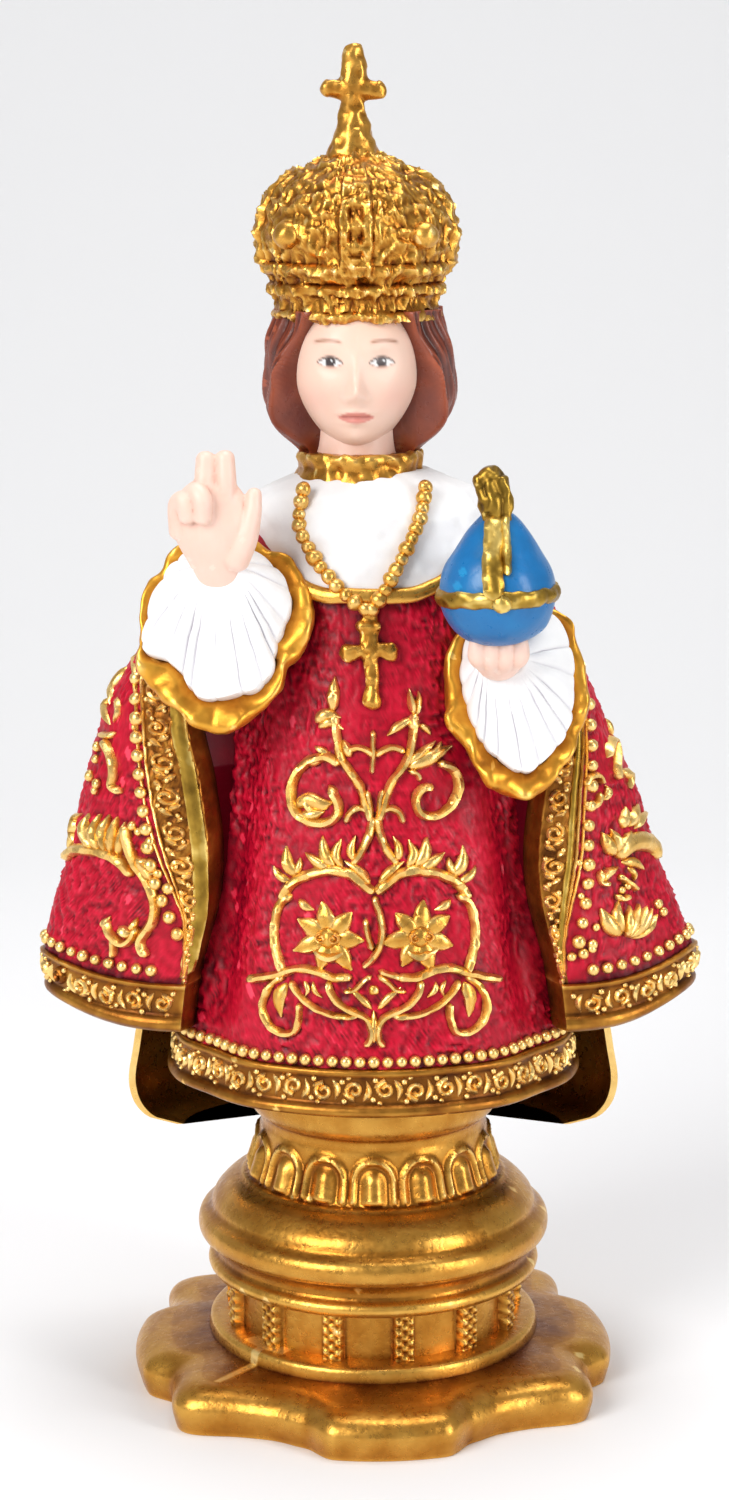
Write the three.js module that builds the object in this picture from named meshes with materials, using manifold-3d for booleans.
// A crowned child figure in a spreading mantle, one hand raised in blessing and the other
// holding an orb, on a round gilt pedestal. It is cast in one piece and 150 mm tall.
// Millimetres, +Z up. The figure looks along -Y, and the origin is under the middle of the
// pedestal. An angle round an upright axis is 0 at the front and grows towards +X.

import * as THREE from 'three';
import { mergeVertices } from 'three/addons/utils/BufferGeometryUtils.js';
import Module from 'manifold-3d';

const wasm = await Module();
wasm.setup();

const { clamp, degToRad, lerp, smoothstep } = THREE.MathUtils;
const FULL_TURN = 2 * Math.PI;
const QUARTER_TURN = Math.PI / 2;

// How far the chest ornament stands to the side of the middle
const ORNAMENT_AXIS = 0.3;

// Driving dimensions of the pedestal, whose outline is [radius, height] from the top down
const pedestal = {
  outline: [[0, 36], [14.2, 35.4], [13.9, 32.2], [12.9, 31.3], [12.9, 29.6], [14.2, 24.4], [17.2, 21.9],
    [19.4, 19.7], [19.9, 18.1], [19.3, 16.8], [18.1, 16.1], [18.1, 14.7], [18.7, 13.8], [18.3, 13.0],
    [0, 12.8]],
  gadroonCount: 15,
  gadroonTop: 29.7,
  gadroonBottom: 24.2,
  gadroonSwell: 0.03,
  drumTop: 13.4,
  drumBottom: 6.4,
  panelRadius: 15.9,
  ribRadius: 17.0,
  ribCount: 13,
  ribTurn: degToRad(-17.8),
};

// Driving dimensions of the foot: a lobe at each side and a scroll at each corner
const foot = {
  turn: degToRad(4),
  columns: 52,
  radius: 25.3,
  lobe: 2.1,
  corner: 3.6,
  cornerAngle: degToRad(52),
  leafAngle: degToRad(30),
  leafDip: 0.7,
  ring: [[0, 7.5], [18.4, 7.2], [18.9, 5.6]],
  // Distance in from the foot's edge, and height
  roll: [[4.2, 5.2], [1.0, 4.2], [0, 2.5], [0.5, 0]],
  scrollRadius: 2.2,
  scrollTurn: degToRad(8),
};

// Driving dimensions of the robe: half width and depth at each height
const robe = {
  hem: 36.5,
  band: 5.2,
  bandProud: 0.45,
  halfWidth: profile([[34, 22.7], [48, 21.2], [62, 18.9], [76, 16.4], [90, 14.0], [98, 12.4], [103, 7.5]]),
  front: profile([[34, 19.9], [48, 18.2], [62, 16.2], [76, 14.0], [90, 11.8], [98, 10.2], [103, 6.8]]),
  back: profile([[34, 14.0], [62, 12.5], [90, 9.5], [103, 6.0]]),
  foldDepth: 1.5,
  valleyAngle: degToRad(54),
  ridgeAngles: [degToRad(36), degToRad(70)],
  foldWidth: degToRad(8.5),
  columns: 34,
  heights: [103, 102, 96, 88, 79, 70, 61, 51, 42.2, 41.6, 36.9, 36.5, 37.6],
};

// Driving dimensions of the mantle, which hangs open at the front
const mantle = {
  hem: 43.4,
  band: 5.6,
  bandProud: 0.45,
  thickness: 1.9,
  leftWidth: profile([[42, 35.2], [47, 36.9], [51, 36.6], [56, 35.6], [62, 33.8], [69, 32.2], [76, 30.2],
    [80, 28.8], [86, 24.6], [92, 20.0], [97, 14.6], [101, 8.0]]),
  rightWidth: profile([[42, 34.4], [47, 36.1], [51, 35.1], [56, 33.4], [62, 31.4], [69, 29.1], [76, 25.8],
    [80, 24.2], [86, 21.4], [92, 18.0], [97, 13.8], [101, 8.0]]),
  back: profile([[42, 21.4], [50, 20.2], [62, 17.8], [76, 15.2], [90, 12.0], [97, 9.4], [101, 6.4]]),
  edgeOut: profile([[42, 21.4], [50, 20.4], [58, 18.4], [64, 18.0], [71, 18.8], [80, 20.2], [87, 17.0],
    [92, 12.5], [97, 8.5], [101, 5.0]]),
  edgeForward: profile([[42, 10.8], [62, 11.0], [80, 9.6], [87, 7.2], [92, 4.6], [97, 2.6], [101, 1.6]]),
  // The part of each half, from the middle of the back to the front edge, that is the back's half oval
  backShare: 0.62,
  foldDepth: 2.6,
  backFolds: 8,
  sideFolds: 4,
  outerColumns: 38,
  innerColumns: 4,
  heights: [100.6, 99.4, 94, 88, 80, 70, 59, 49.3, 48.7, 43.8, 43.4, 45.2, 45.6],
};

// The lining of the mantle, which shows below its hem at the back as a hollow half bell
const lining = {
  centreY: 2,
  columns: 24,
  halfWidth: profile([[28.6, 22.5], [29.6, 26.0], [33, 27.9], [38, 27.4], [46, 26.0]]),
  back: profile([[28.6, 14.6], [29.6, 16.6], [33, 17.6], [46, 18.0]]),
  thickness: 2.2,
  heights: [46.5, 46, 33, 29.6, 28.6, 28.4],
};

// Driving dimensions of the sleeves, which end in a pleated ruffle round the wrist
const sleeves = {
  pleats: 12,
  pleatDepth: 0.6,
  rimThickness: 1.5,
  ruffleShare: 0.84,
  wristAcross: 2.5,
  wristUp: 1.6,
  shoulderRadius: 4.6,
  left: {
    centre: [-16.0, -12.4, 88.4],
    halfWidth: 9.5,
    halfLength: 10.6,
    lean: degToRad(26),
    yaw: degToRad(-6),
    wrist: [-16.4, -16.4, 94.2],
    shoulder: [-10.0, -1.0, 95.5],
  },
  right: {
    centre: [15.0, -12.6, 81.6],
    halfWidth: 8.0,
    halfLength: 11.4,
    lean: degToRad(22),
    yaw: degToRad(6),
    wrist: [14.4, -16.6, 86.0],
    shoulder: [9.5, -1.0, 94.5],
  },
};

// Driving dimensions of the orb, whose outline takes in the gilt band round its middle
const orb = {
  centre: [12.9, -18.6],
  columns: 16,
  outline: [[0, 102.6], [2.0, 101.6], [4.3, 98.2], [5.6, 94.9], [6.5, 93.9], [6.5, 92.3], [5.7, 91.1],
    [3.6, 88.2], [0, 87.4]],
  strapLow: 94,
  strapSwell: 0.09,
  finial: [[-0.3, 101], [-0.9, 104.6]],
  finialRadii: [1.5, 1.3],
};

// Driving dimensions of the yoke over the shoulders, and of the collar round the neck
const yoke = {
  centreX: -0.6,
  halfWidth: profile([[90, 14.3], [96, 13.7], [100, 13.2], [102, 11.8], [103.4, 9.0], [104.4, 6.4]]),
  front: profile([[90, 12.6], [96, 11.4], [100, 10.2], [102, 8.8], [103.4, 7.4], [104.4, 6.0]]),
  back: profile([[90, 12.8], [96, 10.8], [100, 9.0], [102, 7.6], [103.4, 6.6], [104.4, 5.8]]),
  top: 104.4,
  frontEdge: 91.9,
  sideRise: 5.2,
  backDrop: 3.2,
  trim: 0.55,
};
const collar = {
  centre: [-1.5, 0],
  outline: [[0, 106.4], [6.6, 106.2], [6.8, 104.6], [8.4, 102.4], [7.8, 101.4], [0, 101]],
  frontDip: 1.8,
};

// Driving dimensions of the neck, head, hair, crown and cross
const neck = { centre: [-1.9, -0.2], outline: [[0, 111], [4.4, 110], [4.7, 104], [0, 103]] };
const head = {
  centre: [-1.9, -0.3, 116.6],
  halfWidth: 7.5,
  front: 8.6,
  back: 7.6,
  up: 9.4,
  down: 10.0,
  jaw: 0.14,
};
const hair = {
  centre: [-1.6, 0.3],
  columns: 30,
  outline: profile([[106.4, 6.0], [108.5, 8.3], [111, 9.5], [114.5, 10.1], [118, 9.3], [121, 8.8]]),
  frontSwell: 0.08,
  back: 1.0,
  locks: 8,
  lockDepth: 0.45,
  inner: 3.2,
  // Half the opening for the face at each height, in degrees
  opening: profile([[106, 64], [111, 58], [115.5, 51], [119, 40], [121.5, 30]]),
  openingEdge: degToRad(5),
  heights: [122, 121.4, 118.5, 115.5, 112.5, 109.5, 107.2, 105.6, 105.4],
};
const crown = {
  centre: [-1.9, 0],
  outline: [[0, 138.6], [2.9, 138.1], [7.6, 135.2], [9.4, 133.2], [10.4, 129.9], [9.7, 126.6], [9.8, 125.9],
    [8.9, 124.5], [9.2, 123.8], [8.4, 120.8], [0, 120.6]],
  columns: 24,
  archLow: 126.5,
  archHigh: 136,
  archSwell: 0.07,
  bossRadius: 1.55,
  bossReach: 10.4,
  bossHeight: 129.8,
};
const cross = {
  centre: [-2.2, 0],
  thickness: 2.4,
  // Half of its outline, from the foot up to the top
  outline: [[2.8, 137.8], [1.8, 140.0], [1.35, 142.2], [2.4, 143.6], [3.6, 144.0], [3.6, 145.8], [2.2, 146.0],
    [1.4, 147.0], [1.4, 148.8], [0.9, 149.6], [0, 150]],
};

// Driving dimensions of the necklace and the pendant cross
const necklace = {
  strands: [
    [[-8.0, -7.3, 102.0], [-5.4, -10.9, 96.6], [-2.6, -12.4, 92.8], [-0.6, -12.9, 90.9]],
    [[5.8, -6.8, 102.6], [3.6, -10.8, 98.2], [1.3, -12.2, 94.0], [-0.4, -12.9, 90.9]],
  ],
  beads: 7,
  bead: 1.0,
};
const pendant = {
  across: -0.5,
  heights: [90.4, 88.4, 86.2, 83.4, 80.9],
  radii: [0.6, 0.9, 0.8, 0.7, 0.9],
  armHeight: 86.2,
  arm: 2.2,
  armRadii: [0.95, 0.7, 0.95],
  proud: 0.5,
};

// A smooth line through [place, size] stops, which is read at any place
function profile(stops) {
  const last = stops.length - 1;
  const slope = (index) => {
    const [beforeAt, before] = stops[Math.max(index - 1, 0)];
    const [afterAt, after] = stops[Math.min(index + 1, last)];
    return (after - before) / (afterAt - beforeAt);
  };
  return (place) => {
    const next = stops.findIndex(([at]) => at > place);
    const index = next < 0 ? last - 1 : Math.max(next - 1, 0);
    const [startAt, start] = stops[index];
    const [endAt, end] = stops[index + 1];
    const span = endAt - startAt;
    const t = clamp((place - startAt) / span, 0, 1);
    const bend = (1 - t) * slope(index) - t * slope(index + 1);
    const turn = (end - start) / span;
    return lerp(start, end, t) + span * t * (1 - t) * (bend - (1 - 2 * t) * turn);
  };
}

// A soft bump of height 1
function hump(value, centre, width) {
  return Math.exp(-(((value - centre) / width) ** 2));
}

// The direction out from an upright axis at an angle
function outward(angle) {
  return [Math.sin(angle), -Math.cos(angle)];
}

// Mixes two points by a share
function mixPoints(first, second, share) {
  return first.map((value, index) => lerp(value, second[index], share));
}

// Turns a closed geometry into a solid that can be joined
function solid(geometry) {
  geometry.deleteAttribute('normal');
  geometry.deleteAttribute('uv');
  const merged = mergeVertices(geometry, 1e-4);
  return new wasm.Manifold(new wasm.Mesh({
    numProp: 3,
    vertProperties: new Float32Array(merged.attributes.position.array),
    triVerts: new Uint32Array(merged.index.array),
  }));
}

// A closed form of rings. place(angle, row) gives a point, with one point for the whole first
// row and one for the last. Seen from the first row's end, the angle grows anticlockwise.
function rings(columns, rows, place) {
  const geometry = new THREE.SphereGeometry(1, columns, rows);
  const position = geometry.attributes.position;
  for (let index = 0; index < position.count; index += 1) {
    const row = Math.floor(index / (columns + 1));
    const column = (index % (columns + 1)) % columns;
    const tip = row === 0 || row === rows;
    position.setXYZ(index, ...place(tip ? 0 : (column / columns) * FULL_TURN, row));
  }
  return solid(geometry);
}

// A form turned on an upright axis from a [radius, height] outline, from the top down
function turned(columns, outline, centre = [0, 0], swell = () => 1) {
  return rings(columns, outline.length - 1, (angle, row) => {
    const [radius, height] = outline[row];
    const [x, y] = outward(angle);
    const reach = radius * swell(angle, height);
    return [centre[0] + x * reach, centre[1] + y * reach, height];
  });
}

// A rounded bar through points, with a radius at each, made flatter across by a share
function bar(sides, points, radii, across = [0, -1, 0], flatness = 1) {
  const at = (index) => new THREE.Vector3(...points[index]);
  const last = points.length - 1;
  const tip = 0.7;
  return rings(sides, last + 2, (angle, row) => {
    const index = clamp(row - 1, 0, last);
    const along = at(Math.max(index - 1, 0)).sub(at(Math.min(index + 1, last))).normalize();
    const middle = at(index);
    if (row === 0 || row === last + 2) {
      return middle.addScaledVector(along, Math.sign(1 - row) * tip * radii[index]).toArray();
    }
    const first = new THREE.Vector3(...across).projectOnPlane(along).normalize();
    const second = along.clone().cross(first);
    middle.addScaledVector(first, Math.cos(angle) * radii[index] * flatness);
    return middle.addScaledVector(second, Math.sin(angle) * radii[index]).toArray();
  });
}

// A faceted boss
function boss(centre, radius) {
  const geometry = new THREE.IcosahedronGeometry(radius, 0);
  geometry.translate(...centre);
  return solid(geometry);
}

// A small bead
function bead(centre, radius) {
  const geometry = new THREE.OctahedronGeometry(radius, 0);
  geometry.translate(...centre);
  return solid(geometry);
}

// Points along a curve that passes through the given ones
function curve(points, count) {
  const line = new THREE.CatmullRomCurve3(points.map((point) => new THREE.Vector3(...point)));
  return line.getPoints(count).map((point) => point.toArray());
}

// The pedestal's mouldings, with upright rounded panels round the neck
function pedestalMouldings() {
  const { outline, gadroonCount, gadroonTop, gadroonBottom, gadroonSwell } = pedestal;
  return turned(2 * gadroonCount, outline, [0, 0], (angle, height) => {
    const panel = height > gadroonBottom && height < gadroonTop;
    return panel ? 1 + gadroonSwell * Math.cos(gadroonCount * angle) : 1;
  });
}

// The drum with its upright ribs
function drum() {
  const { panelRadius, ribRadius, ribCount, ribTurn, drumTop, drumBottom } = pedestal;
  const columns = 4 * ribCount;
  const levels = [[0, drumTop], [1, drumTop], [1, drumBottom], [0, drumBottom]];
  return rings(columns, 3, (angle, row) => {
    const [share, height] = levels[row];
    const column = Math.round((angle / FULL_TURN) * columns);
    const reach = share * (column % 4 < 2 ? ribRadius : panelRadius);
    const [x, y] = outward(angle + ribTurn);
    return [x * reach, y * reach, height];
  });
}

// How far the foot reaches at an angle
function footReach(angle) {
  const doubled = 2 * (angle - foot.turn);
  const quarter = Math.abs(Math.atan2(Math.sin(doubled), Math.cos(doubled))) / 2;
  const corner = foot.corner * hump(quarter, foot.cornerAngle, degToRad(9));
  const front = foot.lobe * (1 - smoothstep(quarter, degToRad(13), degToRad(22)));
  const side = foot.lobe * smoothstep(quarter, degToRad(66), degToRad(76));
  const leaf = foot.leafDip * hump(quarter, foot.leafAngle, degToRad(7));
  return foot.radius + corner + front + side - leaf;
}

// A point of the foot at an angle, a distance in from its edge, and a height
function footPoint(angle, inward, height) {
  const [x, y] = outward(angle);
  const reach = footReach(angle) - inward;
  return [x * reach, y * reach, height];
}

// The foot: a ring under the drum and a plate that rolls down to the ground
function footPlate() {
  const ringRows = foot.ring.length;
  const rows = ringRows + foot.roll.length;
  return rings(foot.columns, rows, (angle, row) => {
    if (row === rows) {
      return [0, 0, 0];
    }
    if (row < ringRows) {
      const [reach, height] = foot.ring[row];
      const [x, y] = outward(angle);
      return [x * reach, y * reach, height];
    }
    const [inward, height] = foot.roll[row - ringRows];
    return footPoint(angle, inward, height);
  });
}

// A scroll at each corner of the foot
function footScrolls() {
  const radii = [foot.scrollRadius, foot.scrollRadius];
  return [-1, 1].flatMap((side) => [0, Math.PI].map((back) => {
    const scroll = side * (foot.cornerAngle - foot.scrollTurn) + back + foot.turn;
    return bar(7, [footPoint(scroll, 4, 2.6), footPoint(scroll, 0.4, 2.5)], radii, [0, 0, 1]);
  }));
}

// The robe's surface at an angle and a height
function robePoint(angle, height, proud = 0) {
  const [x, y] = outward(angle);
  const spread = 1 - smoothstep(height, 50, 92);
  const side = Math.abs(Math.atan2(Math.sin(angle), Math.cos(angle)));
  const valley = hump(side, robe.valleyAngle, robe.foldWidth);
  const ridges = robe.ridgeAngles.reduce((sum, ridge) => sum + hump(side, ridge, robe.foldWidth), 0);
  const fold = proud + robe.foldDepth * spread * (0.4 * ridges - valley);
  const depth = y < 0 ? robe.front(height) : robe.back(height);
  return [x * (robe.halfWidth(height) + fold), y * (depth + fold), height];
}

// The robe's surface in front of a place given by its distance from the middle and its height
function robeFront(across, height, proud = 0) {
  return robePoint(Math.asin(clamp(across / robe.halfWidth(height), -1, 1)), height, proud);
}

// The robe, with its raised hem band
function robeBody() {
  const { heights, columns, hem, band, bandProud } = robe;
  const last = heights.length - 1;
  return rings(columns, last, (angle, row) => {
    const height = heights[row];
    if (row === 0 || row === last) {
      return [0, 0, height];
    }
    return robePoint(angle, height, height < hem + band ? bandProud : 0);
  });
}

// The mantle's outer surface. share is -1 at the left front edge, 0 at the back and 1 at the
// right front edge.
function mantlePoint(share, height, proud = 0) {
  const side = share < 0 ? -1 : 1;
  const width = side < 0 ? mantle.leftWidth(height) : mantle.rightWidth(height);
  const reach = Math.abs(share);
  const depth = 0.5 * mantle.foldDepth * (1 - smoothstep(height, 52, 96));
  if (reach < mantle.backShare) {
    const turn = (reach / mantle.backShare) * QUARTER_TURN;
    const fold = proud + depth * (Math.cos(mantle.backFolds * turn) - 1);
    return [side * (width + fold) * Math.sin(turn), (mantle.back(height) + fold) * Math.cos(turn), height];
  }
  const turn = ((reach - mantle.backShare) / (1 - mantle.backShare)) * QUARTER_TURN;
  const edge = mantle.edgeOut(height);
  const fold = proud + 0.3 * depth * (Math.cos(mantle.sideFolds * turn) - 1);
  return [
    side * (edge + (width - edge + fold) * Math.cos(turn)),
    -(mantle.edgeForward(height) + fold) * Math.sin(turn),
    height,
  ];
}

// The mantle: its outer surface, its front edges, and an inner side that meets the robe
function mantleBody() {
  const { heights, outerColumns, innerColumns, hem, band, bandProud, thickness } = mantle;
  const columns = outerColumns + innerColumns;
  const last = heights.length - 1;
  return rings(columns, last, (angle, row) => {
    const height = heights[row];
    if (row === 0 || row === last) {
      return [0, 0, height];
    }
    const column = Math.round((angle / FULL_TURN) * columns);
    const place = (column - innerColumns / 2 + columns) % columns;
    if (place <= outerColumns) {
      const inset = row === last - 1 ? thickness : 0;
      const proud = height < hem + band ? bandProud : 0;
      return mantlePoint(1 - (2 * place) / outerColumns, height, proud - inset);
    }
    const across = 1 - (2 * (place - outerColumns)) / innerColumns;
    const back = across === 0 ? 0 : 3.2 - mantle.edgeForward(height);
    return [-Math.sign(across) * (mantle.edgeOut(height) - 1.6), back, height];
  });
}

// The lining of the mantle's back, a hollow half bell behind the pedestal's neck
function liningBody() {
  const { heights, columns, centreY, halfWidth, back, thickness } = lining;
  const half = columns / 2;
  const last = heights.length - 1;
  return rings(columns, last, (angle, row) => {
    const height = heights[row];
    if (row === 0 || row === last) {
      return [0, centreY + back(height) - thickness / 2, height];
    }
    const column = Math.round((angle / FULL_TURN) * columns);
    const outer = column <= half;
    const turn = Math.PI * (outer ? column / half - 0.5 : 1.5 - column / half);
    const inset = outer ? 0 : thickness;
    const width = halfWidth(height) - 0.35 * inset;
    return [-width * Math.sin(turn), centreY + (back(height) - inset) * Math.cos(turn), height];
  });
}

// A point on a sleeve's rim plane: a share of the way out at an angle, and a distance in front
function rimPoint(side, angle, share, out) {
  const across = side.halfWidth * Math.cos(angle) * share;
  const up = side.halfLength * Math.sin(angle) * share;
  const point = new THREE.Vector3(across, -out, up);
  point.applyAxisAngle(new THREE.Vector3(1, 0, 0), -side.lean);
  point.applyAxisAngle(new THREE.Vector3(0, 0, 1), side.yaw);
  return point.add(new THREE.Vector3(...side.centre)).toArray();
}

// An upright oval ring that faces the front
function frontRing([x, y, z], across, up, angle) {
  return [x + across * Math.cos(angle), y, z + up * Math.sin(angle)];
}

// A sleeve: a ruffle that fans from the wrist, a thick gilt rim, and the arm back to the shoulder
function sleeve(side) {
  const { pleats, pleatDepth, rimThickness, ruffleShare, wristAcross, wristUp, shoulderRadius } = sleeves;
  return rings(2 * pleats, 9, (angle, row) => {
    const pleat = pleatDepth * Math.cos(pleats * angle);
    const wrist = frontRing(side.wrist, wristAcross, wristUp, angle);
    const inner = rimPoint(side, angle, ruffleShare, 0.5 + pleat);
    const outer = rimPoint(side, angle, 1, -rimThickness);
    const shoulder = frontRing(side.shoulder, shoulderRadius, shoulderRadius, angle);
    const stages = [
      side.wrist,
      wrist,
      mixPoints(wrist, inner, 0.5),
      inner,
      rimPoint(side, angle, ruffleShare + 0.03, 1.1),
      rimPoint(side, angle, 0.98, 0.6),
      outer,
      mixPoints(outer, shoulder, 0.5),
      shoulder,
      side.shoulder,
    ];
    return stages[row];
  });
}

// The raised hand: a palm, two straight fingers, the folded ones and a thumb
function blessingHand() {
  const [x, y, z] = sleeves.left.wrist;
  const at = (across, forward, up) => [x + across, y - forward, z + up];
  const palm = [at(0, -0.2, -1.5), at(-0.1, 0.6, 1.6), at(-0.3, 0.8, 4.6), at(-0.4, 0.6, 7.6)];
  return [
    bar(8, palm, [1.9, 2.9, 3.9, 3.3], [0, -1, 0], 0.48),
    bar(6, [at(-0.9, 0.6, 7), at(-1.2, 0.3, 13.6)], [1.2, 1.05]),
    bar(6, [at(1.0, 0.6, 7), at(1.0, 0.3, 13.7)], [1.2, 1.05]),
    bar(6, [at(-4.0, 1.4, 7.0), at(-0.9, 1.8, 7.4)], [1.3, 1.3]),
    bar(6, [at(2.6, 0.6, 3.6), at(3.9, 0.5, 9.6)], [1.3, 0.95]),
  ];
}

// The lower hand: four curled fingers under the orb
function orbHand() {
  const [x, y, z] = sleeves.right.wrist;
  const solids = [bar(8, [[x, y + 2.5, z], [x, y - 2.4, z + 1.6]], [2.6, 2.9])];
  for (const place of [-1.5, -0.5, 0.5, 1.5]) {
    const across = x - 0.2 + place * 1.55;
    const curl = 0.25 * place * place;
    const finger = [[across, y - 2.9, z - 0.7 + curl], [across, y - 3.8, z + 2.4 - curl]];
    solids.push(bar(4, finger, [1.05, 1.0], [1, -1, 0]));
  }
  return solids;
}

// The orb, with a strap up its front and the finial on top
function orbBody() {
  const { centre, columns, outline, strapLow, strapSwell, finial, finialRadii } = orb;
  const swell = (angle, height) => (angle === 0 && height > strapLow ? 1 + strapSwell : 1);
  return [
    turned(columns, outline, centre, swell),
    bar(6, finial.map(([across, height]) => [centre[0] + across, centre[1], height]), finialRadii),
  ];
}

// The height of the yoke's lower edge at an angle: low at the front, high over each arm
function yokeEdge(angle) {
  const side = Math.abs(Math.atan2(Math.sin(angle), Math.cos(angle)));
  const rise = yoke.sideRise * smoothstep(side, degToRad(15), degToRad(75));
  return yoke.frontEdge + rise - yoke.backDrop * smoothstep(side, degToRad(110), degToRad(160));
}

// The yoke over the shoulders, with a gilt lower edge
function yokeBody() {
  const rows = 7;
  return rings(24, rows, (angle, row) => {
    if (row === 0 || row === rows) {
      return [yoke.centreX, 0, row === 0 ? yoke.top : 96];
    }
    const [x, y] = outward(angle);
    const low = yokeEdge(angle);
    const height = lerp(yoke.top, low, Math.min((row - 1) / (rows - 3), 1) ** 1.3);
    const proud = [0, 0, 0, 0, 0, yoke.trim, -1.5][row];
    const depth = y < 0 ? yoke.front(height) : yoke.back(height);
    return [x * (yoke.halfWidth(height) + proud) + yoke.centreX, y * (depth + proud), height];
  });
}

// The gilt collar round the neck, which dips at the front
function collarBody() {
  const { centre, outline, frontDip } = collar;
  return rings(16, outline.length - 1, (angle, row) => {
    const [radius, height] = outline[row];
    const [x, y] = outward(angle);
    const dip = height < 103.5 ? frontDip * hump(Math.sin(angle / 2), 0, 0.3) : 0;
    return [centre[0] + x * radius, centre[1] + y * radius, height - dip];
  });
}

// How far the face stands out at a place across and up from the head's middle: brow, eye
// hollows, nose, lips, chin and cheeks of a plain child's face
function faceRelief(across, up) {
  const side = Math.abs(across);
  const brow = 0.35 * hump(up, 2.0, 1.3) * hump(side, 2.8, 2.4);
  const eyes = 0.75 * hump(side, 2.9, 1.3) * hump(up, -0.2, 1.1);
  const bridge = 0.5 * hump(across, 0, 0.8) * hump(up, -1.2, 2.0);
  const nose = bridge + 1.5 * hump(across, 0, 0.95) * hump(up, -3.2, 1.5);
  const lips = 0.55 * hump(across, 0, 1.6) * hump(up, -5.6, 0.9);
  const chin = 0.6 * hump(across, 0, 2.0) * hump(up, -8.4, 1.3);
  const cheeks = 0.35 * hump(side, 3.9, 1.7) * hump(up, -3.9, 2.2);
  return brow - eyes + nose + lips + chin + cheeks;
}

// The head, with more columns towards the face
function headBody() {
  const rows = 13;
  return rings(22, rows, (angle, row) => {
    const around = Math.atan2(Math.sin(angle), Math.cos(angle)) / Math.PI;
    const [x, y] = outward(Math.sign(around) * Math.abs(around) ** 1.5 * Math.PI);
    const drop = (row / rows) * Math.PI;
    const up = Math.cos(drop) * (drop < QUARTER_TURN ? head.up : head.down);
    const jaw = 1 - head.jaw * smoothstep(-up, 2, 9.5);
    const across = x * head.halfWidth * Math.sin(drop) * jaw;
    const relief = y < 0 ? faceRelief(across, up) * Math.sqrt(-y) : 0;
    const depth = y * (y < 0 ? head.front : head.back) * Math.sin(drop) ** 0.8 - relief;
    return [head.centre[0] + across, head.centre[1] + depth, head.centre[2] + up];
  });
}

// The hair: a mass of locks that frames the face
function hairBody() {
  const { centre, columns, heights, opening, openingEdge, outline, inner } = hair;
  const last = heights.length - 1;
  return rings(columns, last, (angle, row) => {
    const height = heights[row];
    if (row === 0 || row === last) {
      return [centre[0], centre[1], height];
    }
    const [x, y] = outward(angle);
    const side = Math.abs(Math.atan2(Math.sin(angle), Math.cos(angle)));
    const open = degToRad(opening(height));
    const cover = smoothstep(side, open - openingEdge, open + openingEdge);
    const lock = hair.lockDepth * Math.cos(hair.locks * (side + 0.05 * (height - 106)));
    const stretch = Math.max(0, -y) * hair.frontSwell * outline(height) + Math.max(0, y) * hair.back;
    const reach = lerp(inner, outline(height) + lock + stretch, cover);
    return [centre[0] + x * reach, centre[1] + y * reach, height];
  });
}

// The crown: a rim, a bulging cap with four arches, and four bosses between them
function crownBody() {
  const { centre, outline, columns, archLow, archHigh, archSwell, bossRadius, bossReach, bossHeight } = crown;
  const solids = [turned(columns, outline, centre, (angle, height) => {
    const column = Math.round((angle / FULL_TURN) * columns);
    const arch = column % (columns / 4) === 0 && height > archLow && height < archHigh;
    return arch ? 1 + archSwell : 1;
  })];
  for (let index = 0; index < 4; index += 1) {
    const [x, y] = outward((index + 0.5) * QUARTER_TURN);
    solids.push(boss([centre[0] + x * bossReach, centre[1] + y * bossReach, bossHeight], bossRadius));
  }
  return solids;
}

// The cross on the crown, a flat plate with a flared foot
function crossBody() {
  const { outline, thickness, centre } = cross;
  const shape = new THREE.Shape();
  shape.moveTo(...outline[0]);
  outline.slice(1).forEach(([x, y]) => shape.lineTo(x, y));
  outline.slice(0, -1).reverse().forEach(([x, y]) => shape.lineTo(-x, y));
  const geometry = new THREE.ExtrudeGeometry(shape, { depth: thickness, bevelEnabled: false });
  geometry.translate(centre[0], 0, -thickness / 2);
  geometry.rotateX(QUARTER_TURN);
  geometry.translate(0, centre[1], 0);
  return solid(geometry);
}

// The two strands of the necklace
function necklaceBeads() {
  const { strands, beads, bead: radius } = necklace;
  return strands.flatMap((strand) => curve(strand, beads - 1).map((point) => bead(point, radius)));
}

// The pendant cross on the chest
function pendantCross() {
  const hang = (height, across = 0) => robeFront(pendant.across + across, height, pendant.proud);
  const arms = [-pendant.arm, 0, pendant.arm].map((across) => hang(pendant.armHeight, across));
  return [
    bar(5, pendant.heights.map((height) => hang(height)), pendant.radii),
    bar(5, arms, pendant.armRadii, [0, -1, 0], 0.7),
  ];
}

// One raised stroke of ornament on the robe, through [across, height] places
function stroke(places, radius, mirror) {
  const last = places.length - 1;
  const points = places.map(([across, height]) => robeFront(ORNAMENT_AXIS + mirror * across, height, 0.15));
  const radii = points.map((_, index) => radius * lerp(0.5, 1, Math.sin((index / last) * Math.PI)));
  return bar(3, points, radii);
}

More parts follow.
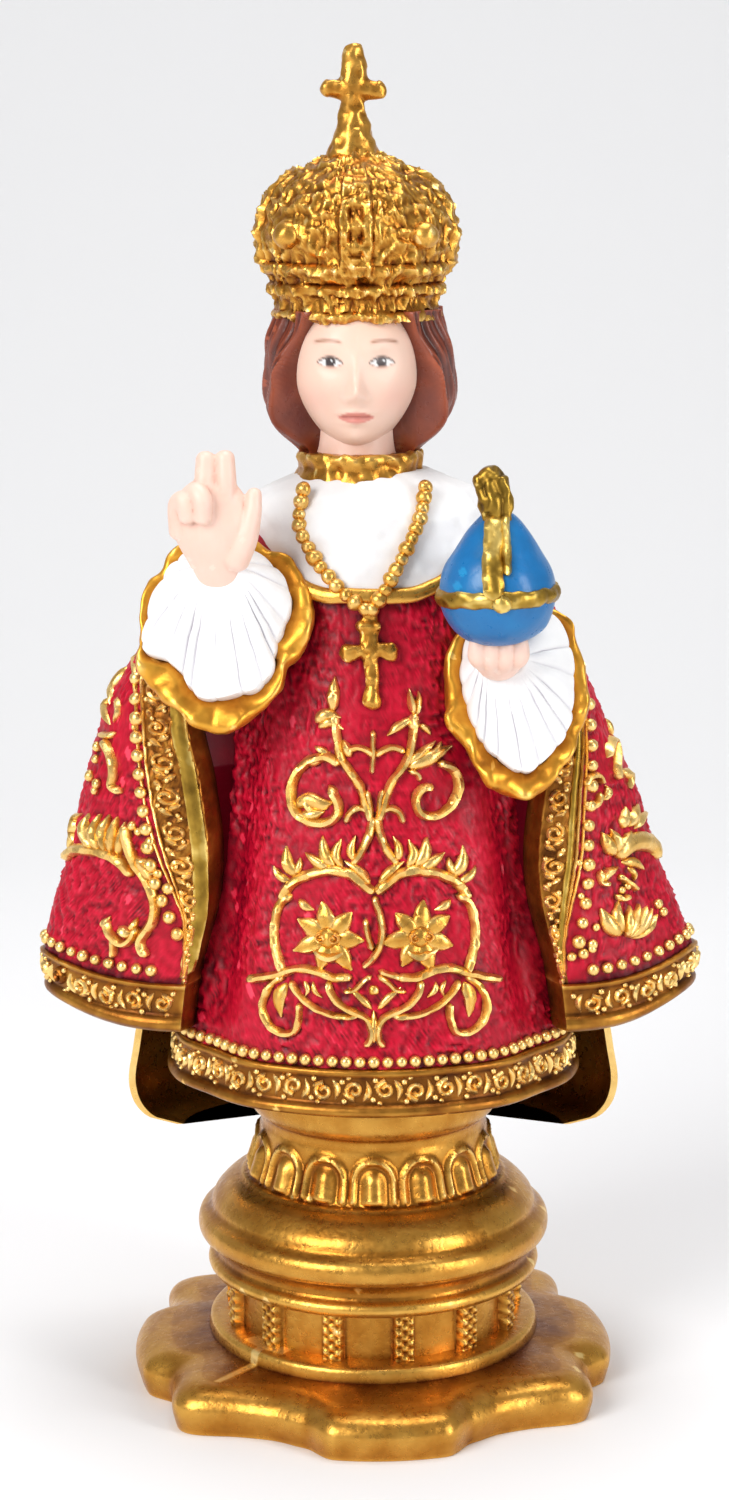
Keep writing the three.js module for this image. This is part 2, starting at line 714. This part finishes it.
// The strokes of the scrolling ornament on one side of the middle, from the hem up: places and radius
const ORNAMENT_STROKES = [
  [[[0.5, 44.4], [2.6, 48.0], [5.0, 50.8]], 0.65],
  [[[0.5, 53.2], [2.8, 51.7], [9.6, 51.6]], 0.6],
  [[[9.8, 51.0], [11.5, 47.8], [9.8, 45.0], [8.0, 47.0]], 0.65],
  [[[9.8, 51.8], [10.4, 55.6], [9.2, 59.6], [7.0, 62.2]], 0.65],
  [[[0.2, 60.2], [3.0, 62.6], [6.9, 62.0], [9.0, 64.6]], 0.9],
  [[[1.2, 64.4], [0.6, 70.2], [3.6, 75.4], [4.3, 83.4]], 0.85],
  [[[2.4, 74.0], [6.0, 74.6], [8.5, 72.0], [6.8, 69.2], [4.8, 71.0]], 0.75],
  [[[3.2, 74.8], [5.6, 76.0], [8.2, 76.4]], 0.9],
];
const ROUNDEL = {
  centre: [4.9, 55.5],
  leaves: 5,
  inner: 1.5,
  outer: 3.6,
  sink: 0.8,
  proud: 0.5,
  bossProud: 1.3,
};

// A five-leaved roundel that lies on the robe
function roundel(mirror) {
  const { centre: [across, height], leaves, inner, outer, sink, proud, bossProud } = ROUNDEL;
  return rings(2 * leaves, 3, (angle, row) => {
    const leaf = Math.round((angle / FULL_TURN) * 2 * leaves) % 2 === 0;
    const reach = row === 0 || row === 3 ? 0 : (leaf && outer) || inner;
    const stand = [bossProud, proud, -sink, -sink][row];
    const place = ORNAMENT_AXIS + mirror * across + reach * Math.sin(angle);
    return robeFront(place, height + reach * Math.cos(angle), stand);
  });
}

// The scrolling ornament on the robe's front
function ornament() {
  return [1, -1].flatMap((mirror) => [
    ...ORNAMENT_STROKES.map(([places, radius]) => stroke(places, radius, mirror)),
    roundel(mirror),
  ]);
}

// The whole statuette, joined into one solid
function statuette() {
  const solids = [
    pedestalMouldings(),
    drum(),
    footPlate(),
    ...footScrolls(),
    liningBody(),
    robeBody(),
    mantleBody(),
    sleeve(sleeves.left),
    sleeve(sleeves.right),
    ...blessingHand(),
    ...orbHand(),
    ...orbBody(),
    yokeBody(),
    collarBody(),
    turned(10, neck.outline, neck.centre),
    headBody(),
    hairBody(),
    ...crownBody(),
    crossBody(),
    ...necklaceBeads(),
    ...pendantCross(),
    ...ornament(),
  ];
  const whole = solids.reduce((joined, next) => joined.add(next));
  const { vertProperties, triVerts } = whole.getMesh();
  const geometry = new THREE.BufferGeometry();
  geometry.setAttribute('position', new THREE.BufferAttribute(vertProperties, 3));
  geometry.setIndex(new THREE.BufferAttribute(triVerts, 1));
  const material = new THREE.MeshStandardMaterial({ color: 0xc8963c, roughness: 0.35, metalness: 0.8 });
  const mesh = new THREE.Mesh(geometry, material);
  mesh.name = 'statuette';
  return mesh;
}

const model = new THREE.Group();
model.add(statuette());

export default model;
